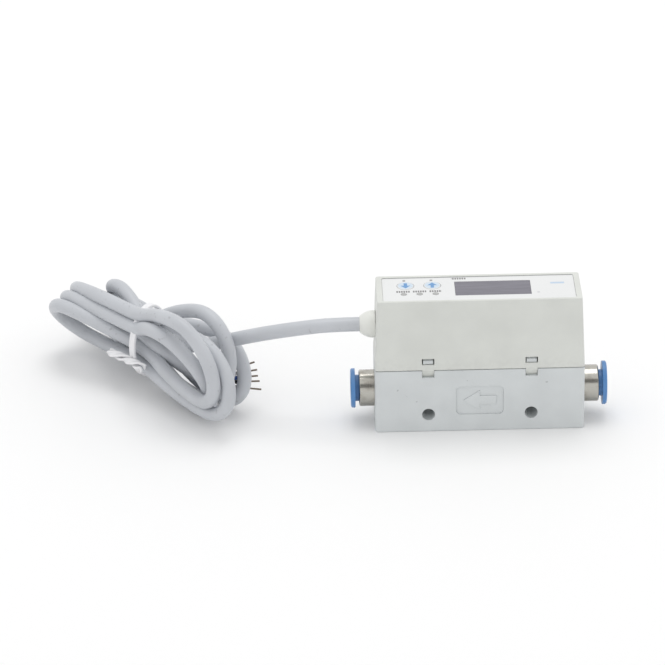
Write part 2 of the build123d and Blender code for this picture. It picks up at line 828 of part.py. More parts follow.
# Strain relief: a rounded boss outside, a neck through the wall and a flange inside
with BuildPart() as cable_gland:
    flange_face = -(gland_face - cover_wall)
    flange_back = flange_face + lean_rate * gland_flange_radius + gland_flange_thickness
    collar_x = -(gland_face + gland_collar)
    with BuildSketch(Plane.XZ):
        with BuildLine():
            outline = Polyline(
                (flange_back, cable_height),
                (flange_back, cable_height + gland_flange_radius),
                (flange_face, cable_height + gland_flange_radius),
                (flange_face, cable_height + gland_neck_radius),
                (-gland_face, cable_height + gland_neck_radius),
                (-gland_face, cable_height + gland_base_radius),
                (collar_x, cable_height + gland_base_radius),
            )
            bulge = TangentArc(
                (collar_x, cable_height + gland_base_radius),
                (-gland_tip, cable_height + gland_tip_radius),
                tangent=(-1, 0),
            )
            Polyline(
                (-gland_tip, cable_height + gland_tip_radius),
                (-gland_tip, cable_height),
                (flange_back, cable_height),
            )
        make_face()
    revolve(axis=cable_axis)
    add(cover.part, mode=Mode.SUBTRACT)
    with BuildSketch(Plane.YZ.offset(flange_back)):
        with Locations((0, cable_height)):
            Circle(cable_radius + gland_bore_gap)
    extrude(amount=-(flange_back + gland_tip), mode=Mode.SUBTRACT)
save(cable_gland, "cable_gland")

# Jacket of the cable inside the strain relief, and its cores down to the main board
jacket_end = flange_back + jacket_inside
with BuildPart() as cable_inner:
    with BuildSketch(Plane.YZ.offset(-gland_tip)):
        with Locations((0, cable_height)):
            Circle(cable_radius)
    extrude(amount=gland_tip + jacket_end)
save(cable_inner, "cable_inner")

with BuildPart() as inner_cores:
    for n in range(core_count):
        row = n - (core_count - 1) / 2
        start = Vector(jacket_end, row * core_spacing, cable_height)
        end = Vector(jacket_end + core_landing, row * core_pad_spacing, main_board_top)
        with BuildLine() as core_path:
            Spline(start, end, tangents=((1, 0, 0), (0, 0, -1)))
        with BuildSketch(Plane(origin=start, z_dir=(1, 0, 0))):
            Circle(core_radius / 2)
        sweep(path=core_path.line)
save(inner_cores, "inner_cores")

# Lead: from the strain relief to the back of the hank, on a route chosen by hand. Each point has
# its distance from the strain relief, its distance to the back and its fall below the exit.
lead_route = [
    (0.0, 0.0, 0.0),
    (7.6, 0.0, 0.0),
    (15.6, 0.8, 1.2),
    (24.0, 2.8, 3.3),
    (31.4, 6.0, 6.2),
]
lead_points = [(-gland_tip - away, back, cable_height - fall) for away, back, fall in lead_route]


def corner_radii(points, share=0.45):
    """The arc at each corner of a route, as large as its two runs allow."""
    radii = []
    for before, here, after in zip(points, points[1:], points[2:]):
        arriving = Vector(*here) - Vector(*before)
        leaving = Vector(*after) - Vector(*here)
        turn = arriving.get_angle(leaving)
        shorter = min(arriving.length, leaving.length)
        radii.append(share * shorter / tan(radians(turn / 2)))
    return radii


lead_radii = corner_radii(lead_points)
print("radii of the lead:", [round(r, 1) for r in lead_radii])
with BuildPart() as cable_lead:
    with BuildLine() as lead_path:
        FilletPolyline(*lead_points, radius=lead_radii)
    start_direction = Vector(*lead_points[1]) - Vector(*lead_points[0])
    with BuildSketch(Plane(origin=lead_points[0], z_dir=start_direction)):
        Circle(cable_radius)
    sweep(path=lead_path.line)
save(cable_lead, "cable_lead")

# Hank: its outer shape, through sections across its length. Each has its distance along the hank,
# the place of its middle across it, its width, and the heights of its lowest and highest point.
waist = (27.5, 0.9, 14.2, 3.2, 24.8)
hank_sections = [
    (-9.4, -0.3, 16.2, 5.0, 25.2),
    (-4.0, -0.7, 21.8, 2.9, 28.4),
    (5.0, -0.6, 23.2, 0.4, 32.0),
    (14.0, -0.7, 22.4, 0.4, 30.8),
    waist,
    (36.0, 5.1, 21.6, 2.7, 24.6),
    (45.0, 6.7, 29.4, 2.2, 25.2),
    (53.0, 6.0, 29.4, 2.7, 23.4),
    (59.0, 5.2, 24.4, 4.8, 21.0),
    (63.2, 4.6, 17.0, 8.6, 17.4),
]
along = Vector(cos(radians(hank_heading)), sin(radians(hank_heading)), 0)
across = Vector(sin(radians(hank_heading)), -cos(radians(hank_heading)), 0)
hank_start = Vector(-gland_tip - hank_distance, hank_aside, 0)


def hank_plane(distance, aside, height):
    """The plane across the hank at a distance along it, with its origin aside and up."""
    origin = hank_start + along * distance + across * aside + Vector(0, 0, height)
    return Plane(origin=origin, x_dir=across, z_dir=along)


with BuildPart() as cable_coil:
    for distance, aside, width, low, high in hank_sections:
        with BuildSketch(hank_plane(distance, aside, (low + high) / 2)):
            Ellipse(width / 2, (high - low) / 2)
    loft()
save(cable_coil, "cable_coil")

# Tie: a flat band round the waist of the hank, with its twisted tail along the front side
tie_place, waist_aside, waist_width, waist_low, waist_high = waist
tie_middle = (waist_low + waist_high) / 2
tie_half_width = waist_width / 2 + tie_gap
tie_half_height = (waist_high - waist_low) / 2 + tie_gap
tail_aside = waist_aside - tie_half_width
with BuildPart() as cable_tie:
    with BuildSketch(hank_plane(tie_place - tie_width / 2, waist_aside, tie_middle)):
        Ellipse(tie_half_width + tie_thickness, tie_half_height + tie_thickness)
        Ellipse(tie_half_width, tie_half_height, mode=Mode.SUBTRACT)
    extrude(amount=tie_width)
    with BuildSketch(hank_plane(tie_place + tie_tail_start, tail_aside, waist_low + tie_tail_rise)):
        Circle(tie_tail_radius)
    extrude(amount=tie_tail_length)
save(cable_tie, "cable_tie")

# Stripped wires at the end of the cable: insulated, then bare and tinned. Their places are measured
# from the near end of the hank, along X and Y and up.
wire_start = (2.0, 6.3, 9.4)
wire_tips = (
    ("brown", (9.0, 6.1, 13.4)),
    ("white", (9.6, 7.1, 10.6)),
    ("blue", (9.8, 5.9, 9.4)),
    ("black", (10.2, 6.7, 7.4)),
    ("grey", (10.6, 5.7, 5.4)),
)
for n, (name, tip) in enumerate(wire_tips):
    spread = (n - (len(wire_tips) - 1) / 2) * 2 * wire_radius
    start = hank_start + Vector(*wire_start) + Vector(0, 0, -spread)
    direction = hank_start + Vector(*tip) - start
    insulated = direction.length * wire_insulated_share
    with BuildPart() as wire:
        with BuildSketch(Plane(origin=start, z_dir=direction)):
            Circle(wire_radius)
        extrude(amount=insulated)
        with BuildSketch(Plane(origin=start, z_dir=direction)):
            Circle(strand_radius)
        extrude(amount=direction.length)
    save(wire, "wire_" + name)
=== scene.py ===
from math import cos, pi, radians, sin

import bmesh
import bpy
from mathutils import Matrix, Vector


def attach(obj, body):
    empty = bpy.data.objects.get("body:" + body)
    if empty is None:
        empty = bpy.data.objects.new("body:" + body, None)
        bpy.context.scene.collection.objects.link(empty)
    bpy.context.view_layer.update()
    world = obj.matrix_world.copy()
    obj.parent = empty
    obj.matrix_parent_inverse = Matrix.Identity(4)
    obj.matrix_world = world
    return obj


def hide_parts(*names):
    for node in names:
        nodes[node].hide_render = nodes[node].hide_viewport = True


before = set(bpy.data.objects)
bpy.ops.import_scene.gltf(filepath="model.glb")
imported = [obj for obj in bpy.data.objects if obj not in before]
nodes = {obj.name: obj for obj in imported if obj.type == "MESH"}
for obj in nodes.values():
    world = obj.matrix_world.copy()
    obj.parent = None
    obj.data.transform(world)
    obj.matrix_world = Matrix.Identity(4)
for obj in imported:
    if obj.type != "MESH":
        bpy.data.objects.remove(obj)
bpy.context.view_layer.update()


# Base
# The lower half of the housing, moulded in cool light grey plastic round the flow channel. It has
# a fine matt grain from the mould, edges just rounded, and a few dark scuffs on the front.

class Shade:
    """A shader node's output. Arithmetic on it adds Math nodes to the same material."""

    def __init__(self, tree, socket=None):
        self.tree = tree
        self.socket = socket

    def node(self, kind, settings=None, sockets=None, output=0):
        """Add a node: its settings first, then the values or links of its sockets."""
        made = self.tree.nodes.new(kind)
        for name, value in (settings or {}).items():
            if name == "stops":
                ramp = made.color_ramp
                while len(ramp.elements) < len(value):
                    ramp.elements.new(0.5)
                for stop, (place, colour) in zip(ramp.elements, value):
                    stop.position = place
                    stop.color = colour
            else:
                setattr(made, name, value)
        for place, value in (sockets or {}).items():
            if isinstance(value, Shade):
                self.tree.links.new(value.socket, made.inputs[place])
            else:
                made.inputs[place].default_value = value
        return Shade(self.tree, made.outputs[output])

    def math(self, operation, first, second=0.0):
        return self.node("ShaderNodeMath", {"operation": operation}, {0: first, 1: second})

    def __add__(self, other):
        return self.math("ADD", self, other)

    def __radd__(self, other):
        return self.math("ADD", other, self)

    def __sub__(self, other):
        return self.math("SUBTRACT", self, other)

    def __rsub__(self, other):
        return self.math("SUBTRACT", other, self)

    def __mul__(self, other):
        return self.math("MULTIPLY", self, other)

    def __rmul__(self, other):
        return self.math("MULTIPLY", other, self)

    def above(self, edge, soft):
        """1 where this is above an edge, 0 below it, with a short soft step between."""
        sockets = {0: self, 1: edge - soft / 2, 2: edge + soft / 2}
        return self.node("ShaderNodeMapRange", {"interpolation_type": "SMOOTHSTEP"}, sockets)

    def mix(self, below, over):
        """The colour below where this is 0, and the colour over it where this is 1."""
        return self.node("ShaderNodeMix", {"data_type": "RGBA"}, {0: self, 6: below, 7: over}, 2)

    def noise(self, place, scale, detail=2.0):
        return self.node("ShaderNodeTexNoise", None, {"Vector": place, "Scale": scale, "Detail": detail})


def paint(red, green, blue):
    """A colour read from a colour chart, 0 to 255, as a shader takes it."""
    channels = [c / 255 for c in (red, green, blue)]
    return tuple(c / 12.92 if c < 0.04045 else ((c + 0.055) / 1.055) ** 2.4 for c in channels) + (1.0,)


class Finish:
    """A material with one Principled shader, and the place on the object in millimetres."""

    def __init__(self, name, **uniform):
        self.material = bpy.data.materials.new(name)
        self.material.use_nodes = True
        tree = self.material.node_tree
        self.shader = tree.nodes["Principled BSDF"]
        self.add = Shade(tree)
        where = self.add.node("ShaderNodeTexCoord", output=3)
        scale = {0: where, 1: (1000.0, 1000.0, 1000.0)}
        self.place = self.add.node("ShaderNodeVectorMath", {"operation": "MULTIPLY"}, scale)
        split = self.add.node("ShaderNodeSeparateXYZ", None, {0: self.place})
        self.x, self.y, self.z = [Shade(tree, s) for s in split.socket.node.outputs]
        for socket, value in uniform.items():
            self.shader.inputs[socket.replace("_", " ").title().replace("Ior", "IOR")].default_value = value

    def into(self, socket, value):
        self.shader.id_data.links.new(value.socket, self.shader.inputs[socket])

    def relief(self, height, depth, edge=0.0):
        """Feed a height, in millimetres of depth, to the surface's normal, with its edges rounded."""
        sockets = {"Height": height, "Distance": depth / 1000, "Strength": 1.0}
        if edge:
            sockets["Normal"] = self.add.node("ShaderNodeBevel", {"samples": 4}, {"Radius": edge / 1000})
        self.into("Normal", self.add.node("ShaderNodeBump", None, sockets))

    def on(self, *names):
        """Put the finish on solids of the construction model."""
        for name in names:
            for slot in nodes[name].material_slots:
                slot.material = self.material


def moulded(name, colour, roughness=0.42, grain=0.006, edge=0.12, tint=0.035):
    """Moulded plastic: a fine grain, a slow drift of tone and softened edges."""
    finish = Finish(name, specular_ior_level=0.45)
    drift = finish.add.noise(finish.place, 0.11, 3.0)
    darker = tuple(c * (1 - 2 * tint) for c in colour[:3]) + (1.0,)
    finish.tone = drift.above(0.5, 0.5).mix(colour, darker)
    finish.into("Base Color", finish.tone)
    fine = finish.add.noise(finish.place, 4.5, 3.0)
    finish.into("Roughness", fine * 0.12 + (roughness - 0.06))
    finish.relief(fine, grain, edge)
    return finish


def spot(finish, x, z, width, height, turn):
    """The mask of a small oval mark on the front face, from its middle, half sizes and turn."""
    across = (finish.x - x) * (cos(turn) / width) + (finish.z - z) * (sin(turn) / width)
    along = (finish.z - z) * (cos(turn) / height) - (finish.x - x) * (sin(turn) / height)
    near = 1.0 - (across * across + along * along)
    return near.above(0.5, 1.0)


base_grey = moulded("base grey", paint(211, 215, 216))
scuff_places = [(-21.6, 12.3, 0.42, 0.34, 0.3), (-16.6, 8.9, 0.40, 0.26, 0.7), (17.5, 13.9, 0.46, 0.36, 0.0),
                (-3.3, 14.7, 0.2, 0.2, 0.0), (-19.3, 10.6, 0.75, 0.06, -0.75), (-4.6, 17.6, 0.3, 0.12, 0.1)]
scuff_strength = 0.5
front_depth = 7.5
scuffs = spot(base_grey, *scuff_places[0])
for scuff in scuff_places[1:]:
    scuffs = scuffs + spot(base_grey, *scuff)
front_only = (0.0 - base_grey.y).above(front_depth, 0.2)
broken = base_grey.add.noise(base_grey.place, 3.0, 4.0).above(0.46, 0.22)
scuffs = scuffs * front_only * broken * scuff_strength
base_grey.into("Base Color", scuffs.mix(base_grey.tone, paint(120, 122, 124)))
base_grey.on("base_body")


# Flow path
# A moulded throat piece below the sensor chip and a woven steel screen in each port steady the air.

insert_white = moulded("insert white", paint(225, 226, 222), 0.35)
insert_white.on("flow_insert")

screen_steel = Finish("screen steel", metallic=1.0, base_color=paint(176, 175, 172))
weave = screen_steel.add.node("ShaderNodeTexWave", {"bands_direction": "Y"},
                              {"Vector": screen_steel.place, "Scale": 2.4})
weft = screen_steel.add.node("ShaderNodeTexWave", {"bands_direction": "Z"},
                             {"Vector": screen_steel.place, "Scale": 2.4})
screen_steel.into("Roughness", weave * 0.2 + weft * 0.2 + 0.15)
screen_steel.relief(weave + weft, 0.02)
screen_steel.on("flow_screen_left", "flow_screen_right")


# Push-in ports
# Each port is a turned brass sleeve, nickel plated, over an O-ring. Inside are a rubber lip seal,
# a backing ring, a thin toothed steel ring that grips the tube, and the collar that holds it down.

sleeve_nickel = Finish("sleeve nickel", metallic=1.0, coat_weight=0.0)
lathe = sleeve_nickel.add.node("ShaderNodeTexNoise", {"noise_dimensions": "1D"},
                               {"W": sleeve_nickel.x, "Scale": 7.0, "Detail": 3.0})
clouds = sleeve_nickel.add.noise(sleeve_nickel.place, 0.35, 4.0)
tarnish = clouds.above(0.56, 0.3)
sleeve_nickel.into("Base Color", tarnish.mix(paint(184, 182, 175), paint(164, 160, 152)))
sleeve_nickel.into("Roughness", lathe * 0.12 + tarnish * 0.06 + 0.14)
sleeve_nickel.relief(lathe, 0.0015, 0.1)
sleeve_nickel.on("port_sleeve_left", "port_sleeve_right")

seal_rubber = moulded("seal rubber", paint(38, 38, 40), 0.6, 0.01, 0.0)
seal_rubber.on("sleeve_o_ring_left", "sleeve_o_ring_right", "tube_seal_left", "tube_seal_right")
seal_rubber.on("sensor_gasket")

ring_white = moulded("ring white", paint(228, 229, 226), 0.4)
ring_white.on("backing_ring_left", "backing_ring_right", "grip_collar_left", "grip_collar_right")

tooth_steel = Finish("tooth steel", metallic=1.0)
rolled = tooth_steel.add.noise(tooth_steel.place, 5.0, 3.0)
tooth_steel.into("Roughness", rolled * 0.2 + 0.18)
tooth_steel.into("Base Color", rolled.mix(paint(188, 187, 184), paint(160, 160, 160)))
tooth_steel.on("grip_ring_left", "grip_ring_right")


# Release rings
# Blue acetal rings that slide in to let the tube go. The oval flange stands outside the sleeve.

ring_blue = moulded("ring blue", paint(86, 136, 192), 0.34, 0.004, 0.18, 0.05)
ring_blue.on("release_ring_left", "release_ring_right")


# Flow sensor
# A small board over a rubber gasket carries the chip that looks down into the channel, and four
# tinned pins take its signal up to the main board.

board_green = Finish("board green", specular_ior_level=0.5)
tracks = board_green.add.node("ShaderNodeTexBrick", {"offset": 0.37, "squash": 1.4, "squash_frequency": 3},
                              {"Vector": board_green.place, "Scale": 0.55, "Mortar Size": 0.045,
                               "Brick Width": 1.6, "Row Height": 0.45}, 1)
fibres = board_green.add.noise(board_green.place, 2.5, 2.0)
copper = tracks.mix(paint(22, 92, 58), paint(44, 122, 78))
board_green.into("Base Color", fibres.above(0.62, 0.3).mix(copper, paint(18, 80, 52)))
board_green.into("Roughness", fibres * 0.15 + 0.25)
board_green.relief(tracks, 0.03)
board_green.on("sensor_board", "main_board", "display_board")

chip_black = moulded("chip black", paint(30, 30, 33), 0.5, 0.01, 0.05)
chip_black.on("controller_chip", "regulator_chip", "flow_chip", "board_header")

pin_tin = Finish("pin tin", metallic=1.0)
dull = pin_tin.add.noise(pin_tin.place, 3.0, 3.0)
pin_tin.into("Roughness", dull * 0.3 + 0.2)
pin_tin.into("Base Color", dull.mix(paint(205, 203, 198), paint(170, 168, 164)))
pin_tin.on("sensor_pins")


# Boards of the electronics
# The supply capacitor is an aluminium can with a dark stripe. Above the header the display board
# carries the display, two tact switches with white plungers, and the three status lamps.

can_aluminium = Finish("can aluminium", metallic=1.0)
brushed = can_aluminium.add.noise(can_aluminium.place, 1.5, 5.0)
stripe_from = 16.7
stripe = (can_aluminium.x - stripe_from).above(0.0, 0.1)
can_aluminium.into("Base Color", stripe.mix(paint(200, 201, 203), paint(60, 60, 70)))
can_aluminium.into("Roughness", brushed * 0.25 + 0.2)
can_aluminium.on("supply_capacitor")

module_grey = moulded("module grey", paint(70, 70, 76), 0.45)
module_grey.on("display_module")

switch_metal = Finish("switch metal", metallic=0.8)
pressed = switch_metal.add.noise(switch_metal.place, 3.5, 3.0)
switch_metal.into("Base Color", pressed.mix(paint(120, 120, 122), paint(96, 96, 100)))
switch_metal.into("Roughness", pressed * 0.2 + 0.3)
switch_metal.on("tact_switch_up", "tact_switch_down")

lamp_white = moulded("lamp white", paint(236, 236, 228), 0.3, 0.003, 0.05)
lamp_white.on("status_leds", "switch_plunger_up", "switch_plunger_down")


# Cover
# The upper half of the housing, a thin shell in warm light grey that snaps over the base. It has
# the same matt grain, and painted shade in broken patches along its lower edge by the seam.

cover_grey = moulded("cover grey", paint(217, 219, 214))
seam_height = 20.5
near_seam = (seam_height - cover_grey.z).above(0.0, 5.0)
# Painted shade: the cover darkens in noisy patches towards its lower edge, by the seam with the base.
painted_seam_shade = near_seam * cover_grey.add.noise(cover_grey.place, 0.9, 4.0).above(0.55, 0.3)
cover_grey.into("Base Color", (painted_seam_shade * 0.25).mix(cover_grey.tone, paint(196, 197, 194)))
cover_grey.on("cover")


# Display window
# A dark tinted acrylic pane under a thin matt protective foil, so the dead display shows only as a
# violet grey, with a few faint streaks in the foil.

window_dark = Finish("window dark", roughness=0.3, coat_weight=0.25, coat_roughness=0.12)
streak_place = window_dark.add.node("ShaderNodeVectorMath", {"operation": "MULTIPLY"},
                                    {0: window_dark.place, 1: (0.12, 1.3, 1.0)})
streaks = window_dark.add.noise(streak_place, 1.0, 4.0)
window_dark.into("Base Color", streaks.above(0.5, 0.5).mix(paint(112, 110, 121), paint(102, 100, 111)))
window_dark.into("Roughness", streaks * 0.2 + 0.28)
window_dark.on("display_window")


# Keys
# Two moulded white keys, each with a crowned pad that stands in the front film. A blue arrow is
# printed on a pale blue ground: down on the left key, up on the right one.

print_blue = paint(92, 146, 200)
halo_blue = paint(196, 214, 230)
key_row = 1.9
halo_reach = 4.4
arrow_point = 1.6
arrow_tail = 1.5
stem_half = 0.45


def key_finish(name, x, y, way):
    """A white key with its arrow, which points to +Y or to -Y."""
    finish = moulded(name, paint(228, 229, 229), 0.38, 0.003, 0.1, 0.01)
    right = finish.x - x
    up = (finish.y - y) * way
    away = finish.add.math("ABSOLUTE", right)
    halo = (1.0 - (right * right + up * up) * (1 / halo_reach)).above(0.12, 0.25)
    head = (arrow_point - up - away * 1.25).above(0.0, 0.16) * (up + 0.05).above(0.0, 0.16)
    stem = (stem_half - away).above(0.0, 0.14) * (up + arrow_tail).above(0.0, 0.14)
    stem = stem * (0.2 - up).above(0.0, 0.14)
    arrow = finish.add.math("MAXIMUM", head, stem)
    ground = (halo * 0.8).mix(finish.tone, halo_blue)
    finish.into("Base Color", (arrow * 0.95).mix(ground, print_blue))
    return finish


key_finish("key white down", -19.0, key_row, -1).on("key_up")
key_finish("key white up", -12.0, key_row, 1).on("key_down")


# Status lights
# Three clear moulded guides, pressed into the cover, carry the light of the lamps up to the front
# film. Unlit, they look pale grey.

guide_clear = Finish("guide clear", transmission_weight=0.35, ior=1.49)
cast = guide_clear.add.noise(guide_clear.place, 1.2, 2.0)
guide_clear.into("Base Color", cast.mix(paint(214, 214, 212), paint(196, 197, 197)))
guide_clear.into("Roughness", cast * 0.1 + 0.1)
guide_clear.on("light_guide_1", "light_guide_2", "light_guide_3")


# Front film
# A white printed film in the recess of the cover, satin, with small grey legends for the lights and
# keys, a unit mark by the display and a pale blue mark on the right. The print is generic bars.

film_white = moulded("film white", paint(228, 229, 229), 0.3, 0.002, 0.05, 0.008)


def bar(left, right, low, high, soft=0.1):
    """The mask of a printed bar on the film."""
    along = (film_white.x - left).above(0.0, soft) * (right - film_white.x).above(0.0, soft)
    return along * (film_white.y - low).above(0.0, soft) * (high - film_white.y).above(0.0, soft)


letter_step = 0.62
letters = film_white.add.math("FRACT", film_white.x * (1 / letter_step)).above(0.3, 0.2)
legend = bar(-21.5, -18.0, -2.1, -1.0) + bar(-17.2, -13.7, -2.1, -1.0) + bar(-12.9, -9.7, -2.1, -1.0)
legend = legend + bar(-6.9, -3.0, 5.2, 6.2)
marks = bar(-19.65, -18.95, 4.6, 5.5) + bar(-12.55, -11.85, 4.6, 5.5)
blue_mark = bar(18.9, 22.5, 1.5, 2.5, 0.3)
ground = (blue_mark * 0.6).mix(film_white.tone, paint(150, 186, 220))
ground = (legend * letters * 0.85).mix(ground, paint(92, 88, 90))
ground = (marks * 0.7).mix(ground, paint(96, 92, 96))
dot_x = film_white.x - 15.5
dot_y = film_white.y + 3.4
dot = (1.0 - (dot_x * dot_x + dot_y * dot_y) * 4.0).above(0.3, 0.5)
ground = (dot * 0.5).mix(ground, paint(176, 176, 182))
# Painted shadow: a thin dark line along the back edge of the film, where the back wall of the recess shades
# it.
film_back = 6.45
painted_back_shadow = (film_white.y - film_back).above(0.0, 0.08)
film_white.into("Base Color", (painted_back_shadow * 0.7).mix(ground, paint(140, 142, 146)))
film_white.on("label_film")


# Strain relief
# A white moulded boss that seals the cable in the left end. Inside, the jacket is stripped back and
# the five cores bend down to the main board.

gland_white = moulded("gland white", paint(229, 230, 225), 0.4, 0.005, 0.2, 0.02)
gland_white.on("cable_gland")

jacket_grey = moulded("jacket grey", paint(195, 198, 203), 0.42, 0.008, 0.0)
jacket_grey.on("cable_inner")

core_colours = {"brown": (104, 66, 48), "white": (226, 226, 224), "blue": (44, 84, 160),
                "black": (34, 34, 38), "grey": (128, 130, 134)}
cores_mixed = Finish("cores mixed", roughness=0.4)
core_order = [core_colours[c] for c in ("grey", "black", "blue", "white", "brown")]
hue = cores_mixed.add.node("ShaderNodeValToRGB", {"stops": [
    (n / 5, paint(*core_order[n])) for n in range(5)]}, {0: cores_mixed.y * (1 / 4.0) + 0.5})
hue.socket.node.color_ramp.interpolation = "CONSTANT"
cores_mixed.into("Base Color", hue)
cores_mixed.on("inner_cores")


# Signal cable
# A soft grey jacket, 3.8 mm thick and about 0.9 m long, one unbroken run. It leaves the strain relief
# level, falls to the back of the hank, is laid there in six long folds and ends cut, in the middle.

cable_radius = 0.0019
lead_route = [
    (-0.0312, 0.0, 0.028), (-0.0388, 0.0, 0.028), (-0.0468, 0.0008, 0.0268), (-0.0552, 0.0028, 0.0247),
    (-0.0626, 0.0060, 0.0218), (-0.0682, 0.0104, 0.0184),
]
hank_start = Vector((-0.0680, 0.0023, 0))
along = Vector((cos(radians(135)), sin(radians(135)), 0))
across = Vector((sin(radians(135)), -cos(radians(135)), 0))


def hank_point(distance, aside, height):
    """A point of the hank, in millimetres along it, across it and up."""
    return hank_start + (along * distance + across * aside) / 1000 + Vector((0, 0, height / 1000))


# Where each pass lies below the tie, in turn, as places across the bundle and above the floor
tie_distance = 27.5
tie_places = [(0.6, 11.6), (3.9, 18.7), (5.1, 12.4), (-1.3, 18.6), (3.2, 5.8), (-2.3, 21.9),
              (-0.5, 11.6), (-2.0, 7.7), (2.5, 16.4), (-3.3, 18.3), (1.8, 9.0), (-0.8, 15.4)]
# The folds at the far end: how far each reaches, and the places of its two legs
far_folds = [(56.6, (17.0, 8.0), (3.7, 18.4)), (48.2, (12.7, 13.7), (4.0, 23.7)),
             (60.1, (20.4, 3.8), (-2.6, 22.9)), (60.2, (-7.2, 18.6), (4.1, 4.3)),
             (59.2, (8.4, 8.0), (-4.1, 20.0)), (45.0, (6.0, 4.9), (-0.2, 18.0))]
# The loops at the near end: middle, half length, lean, mid height, half height (negative where the
# loop is entered from below), place across and drift across
near_loops = [(7.5, 9.1, 2.4, 10.5, 8.1, 7.1, 2.1), (10.2, 11.7, -1.6, 15.2, 12.8, 1.7, 0.1),
              (3.0, 8.7, 2.9, 19.2, 10.9, -9.1, -1.2), (1.1, 9.5, -2.7, 14.1, -9.2, -5.5, -1.3),
              (9.2, 8.7, 3.6, 14.0, 10.6, -6.2, -4.2)]


def between(start, end, share):
    """The place part of the way from one (across, height) to another."""
    return [a + (b - a) * share for a, b in zip(start, end)]


turns = [hank_point(10.5, 3.8, 16.7), hank_point(15.9, 5.9, 14.1)]
for turn, (reach, leg_in, leg_out) in enumerate(far_folds):
    arrive, leave = tie_places[2 * turn], tie_places[2 * turn + 1]
    half_gap = (Vector(leg_in) - Vector(leg_out)).length / 2
    fold_start = reach - half_gap
    halfway = (tie_distance + fold_start) / 2
    turns.append(hank_point(tie_distance, *arrive))
    turns.append(hank_point(halfway, *between(arrive, leg_in, 0.62)))
    for step in range(6):
        angle = radians(90 - 36 * step)
        side, height = between(leg_out, leg_in, (1 + sin(angle)) / 2)
        turns.append(hank_point(fold_start + half_gap * 1.12 * cos(angle), side, height))
    turns.append(hank_point(halfway, *between(leave, leg_out, 0.62)))
    turns.append(hank_point(tie_distance, *leave))
    if turn < len(near_loops):
        middle, half_length, lean, mid_height, half_height, side, drift = near_loops[turn]
        loop = []
        for step in range(7):
            angle = radians(90 - 30 * step)
            distance = middle - half_length * 1.05 * cos(angle) + lean * sin(angle)
            loop.append((distance, side + drift * sin(angle), mid_height + half_height * 1.04 * sin(angle)))
        following = tie_places[2 * turn + 2]
        for place, end in ((leave, loop[0]), (following, loop[-1])):
            aside = place[0] + (end[1] - place[0]) * 0.62
            height = place[1] + (end[2] - place[1]) * 0.68
            loop.insert(0 if end is loop[0] else len(loop), ((tie_distance + end[0]) / 2, aside, height))
        turns += [hank_point(*p) for p in loop]
turns += [hank_point(16.2, 0.6, 10.4), hank_point(9.0, 2.0, 8.2), hank_point(4.0, 3.9, 8.8)]


def strand(name, points, radius, finish, sides=5):
    """A round strand on one smooth spline through space."""
    curve = bpy.data.curves.new(name, "CURVE")
    curve.dimensions = "3D"
    curve.bevel_depth = radius
    curve.bevel_resolution = sides
    curve.use_fill_caps = True
    curve.resolution_u = 8
    spline = curve.splines.new("NURBS")
    spline.points.add(len(points) - 1)
    for point, place in zip(spline.points, points):
        point.co = (*place, 1.0)
    spline.order_u = 3
    spline.use_endpoint_u = True
    piece = bpy.data.objects.new(name, curve)
    bpy.context.scene.collection.objects.link(piece)
    curve.materials.append(finish.material)
    return piece


cable_grey = moulded("cable grey", paint(195, 198, 203), 0.4, 0.006, 0.0, 0.03)
grime = cable_grey.add.noise(cable_grey.place, 0.6, 5.0).above(0.68, 0.1)
cable_grey.into("Base Color", (grime * 0.4).mix(cable_grey.tone, paint(140, 140, 142)))
cable = strand("signal_cable", [Vector(p) for p in lead_route] + turns, cable_radius, cable_grey, 6)
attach(cable, "housing")
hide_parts("cable_lead", "cable_coil")


# Tie
# A flat white plastic tie with a wire in each edge, wound once round the hank. Its two ends are
# twisted together and folded back along the lower front of the bundle.

tie_middle = (0.4, 13.9)
tie_half = (6.1, 9.9)
tie_white = moulded("tie white", paint(240, 240, 242), 0.3, 0.003, 0.0, 0.01)


def ribbon(name, path, outward, width, thickness, finish, closed=False):
    """A flat band with a raised wire along each edge, swept along a path."""
    half = width / 2
    outer = [(0.3, 0.55), (0.6, 1.0), (0.9, 0.9), (1.0, 0.0)]
    shares = [(-s, t) for s, t in reversed(outer)] + outer + [(0.9, -0.35), (-0.9, -0.35)]
    section = [(half * s, thickness * t) for s, t in shares]
    mesh = bmesh.new()
    rows = []
    count = len(path)
    for n, (point, out) in enumerate(zip(path, outward)):
        before = path[(n - 1) % count] if closed or n else path[0]
        after = path[(n + 1) % count] if closed or n < count - 1 else path[-1]
        forward = (after - before).normalized()
        side = forward.cross(out).normalized()
        up = side.cross(forward)
        rows.append([mesh.verts.new(point + side * s + up * t) for s, t in section])
    last = count if closed else count - 1
    for n in range(last):
        here, there = rows[n], rows[(n + 1) % count]
        for k in range(len(section)):
            j = (k + 1) % len(section)
            mesh.faces.new((here[k], here[j], there[j], there[k]))
    if not closed:
        mesh.faces.new(list(reversed(rows[0])))
        mesh.faces.new(rows[-1])
    bmesh.ops.recalc_face_normals(mesh, faces=mesh.faces)
    data = bpy.data.meshes.new(name)
    mesh.to_mesh(data)
    mesh.free()
    for face in data.polygons:
        face.use_smooth = True
    data.materials.append(finish.material)
    piece = bpy.data.objects.new(name, data)
    bpy.context.scene.collection.objects.link(piece)
    smooth = piece.modifiers.new("smooth", "SUBSURF")
    smooth.levels = smooth.render_levels = 1
    return piece


band_path = []
band_out = []
band_steps = 72
for step in range(band_steps):
    angle = 2 * pi * step / band_steps
    aside = tie_middle[0] + (tie_half[0] + 0.12 * sin(3 * angle)) * cos(angle)
    height = tie_middle[1] + tie_half[1] * sin(angle)
    band_path.append(hank_point(tie_distance + 0.4 * sin(2 * angle), aside, height))
    band_out.append(across * cos(angle) + Vector((0, 0, 1)) * sin(angle))
tie_band = ribbon("tie_band", band_path, band_out, 0.0022, 0.0007, tie_white, True)
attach(tie_band, "housing")
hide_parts("cable_tie")

